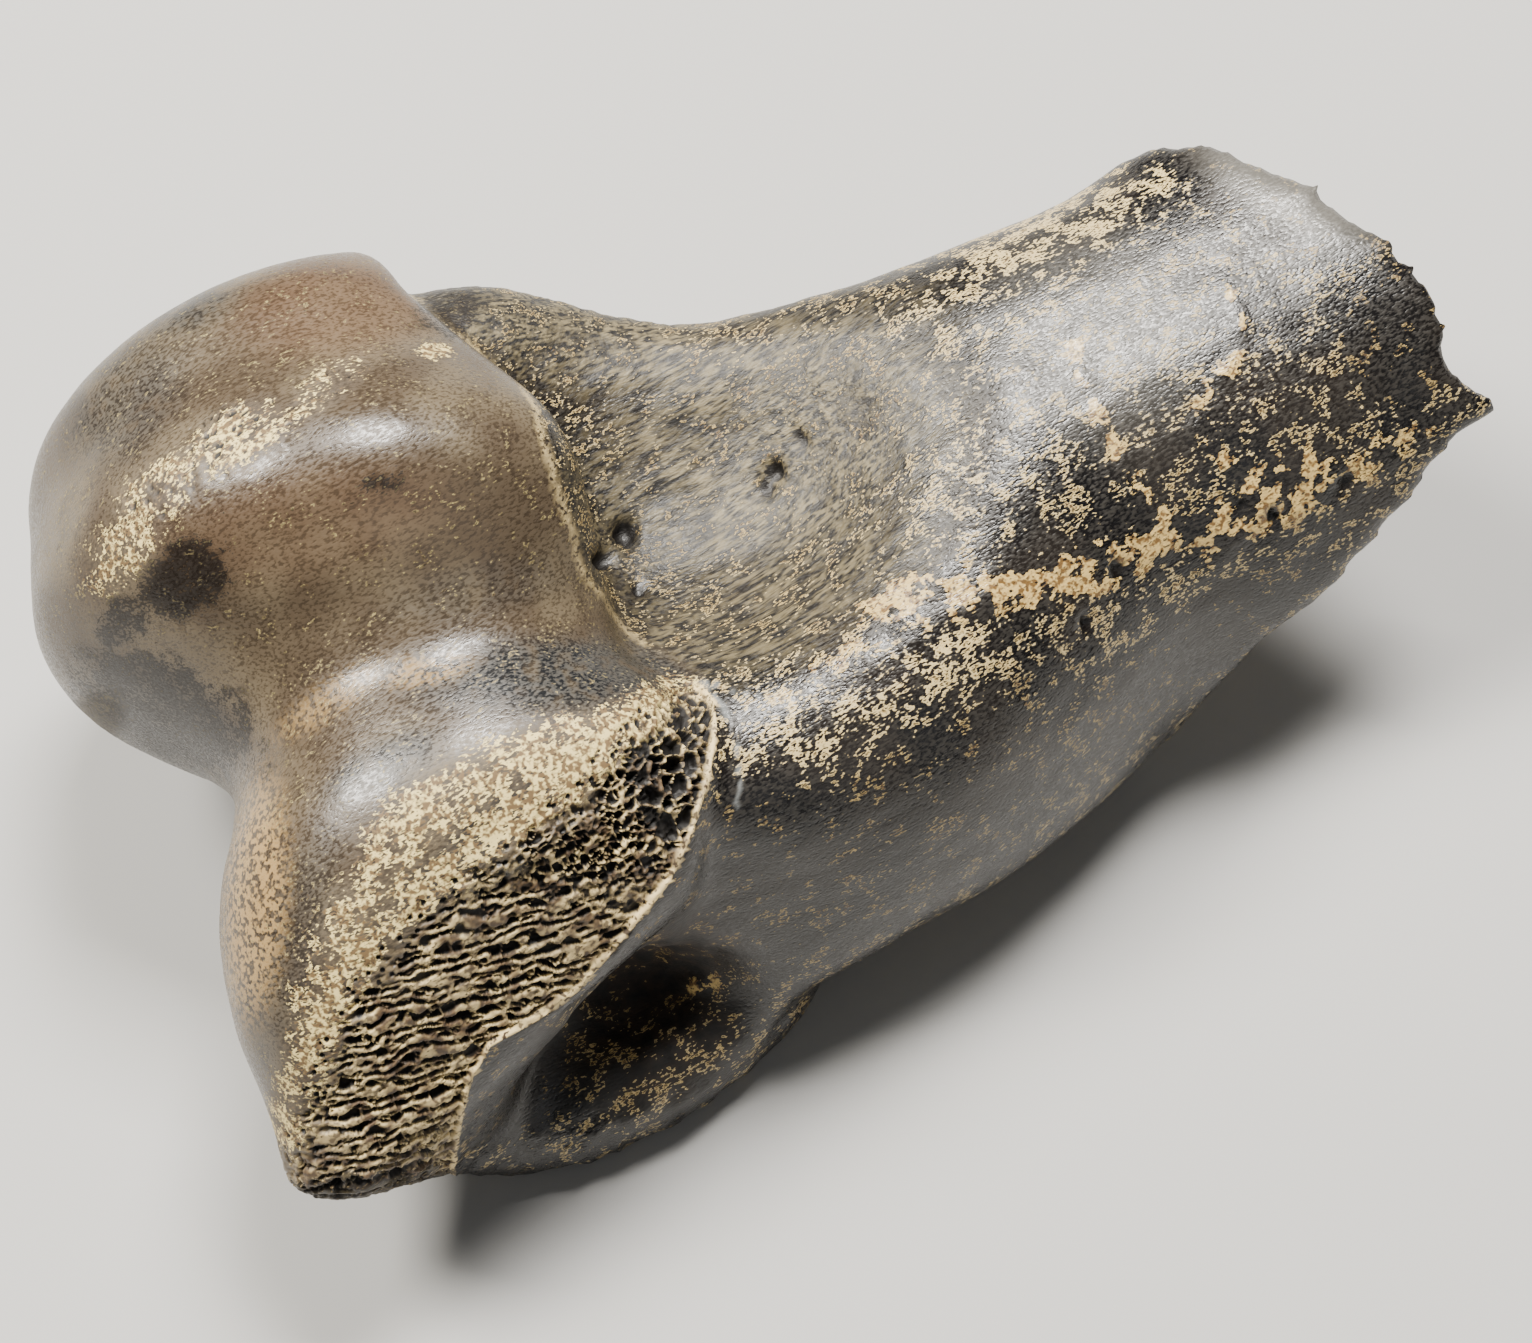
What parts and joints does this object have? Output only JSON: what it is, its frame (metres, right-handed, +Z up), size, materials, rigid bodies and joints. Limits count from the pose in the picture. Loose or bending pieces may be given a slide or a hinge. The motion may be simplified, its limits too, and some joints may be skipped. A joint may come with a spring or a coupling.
{
  "type": "fossil mammal limb bone, joint end",
  "caption": "Joint end of a fossil mammal limb bone: a grooved drum with a whole lobe and a worn, spongy one, above a hollow and a broken stump of shaft.",
  "frame": {"origin": "on the table, at the bottom centre of the bone's box", "axes": "+X along the shaft from the joint to the break, +Y towards the whole lobe, +Z up with the bone at rest"},
  "size_m": [0.1262, 0.0738, 0.058],
  "materials": {
    "fossil_bone": "dark brown to black mineral bone with a dull gloss, tan crust and pale spongy bone"
  },
  "bodies": {
    "root": {"bone": "fossil_bone"}
  },
  "joints": []
}
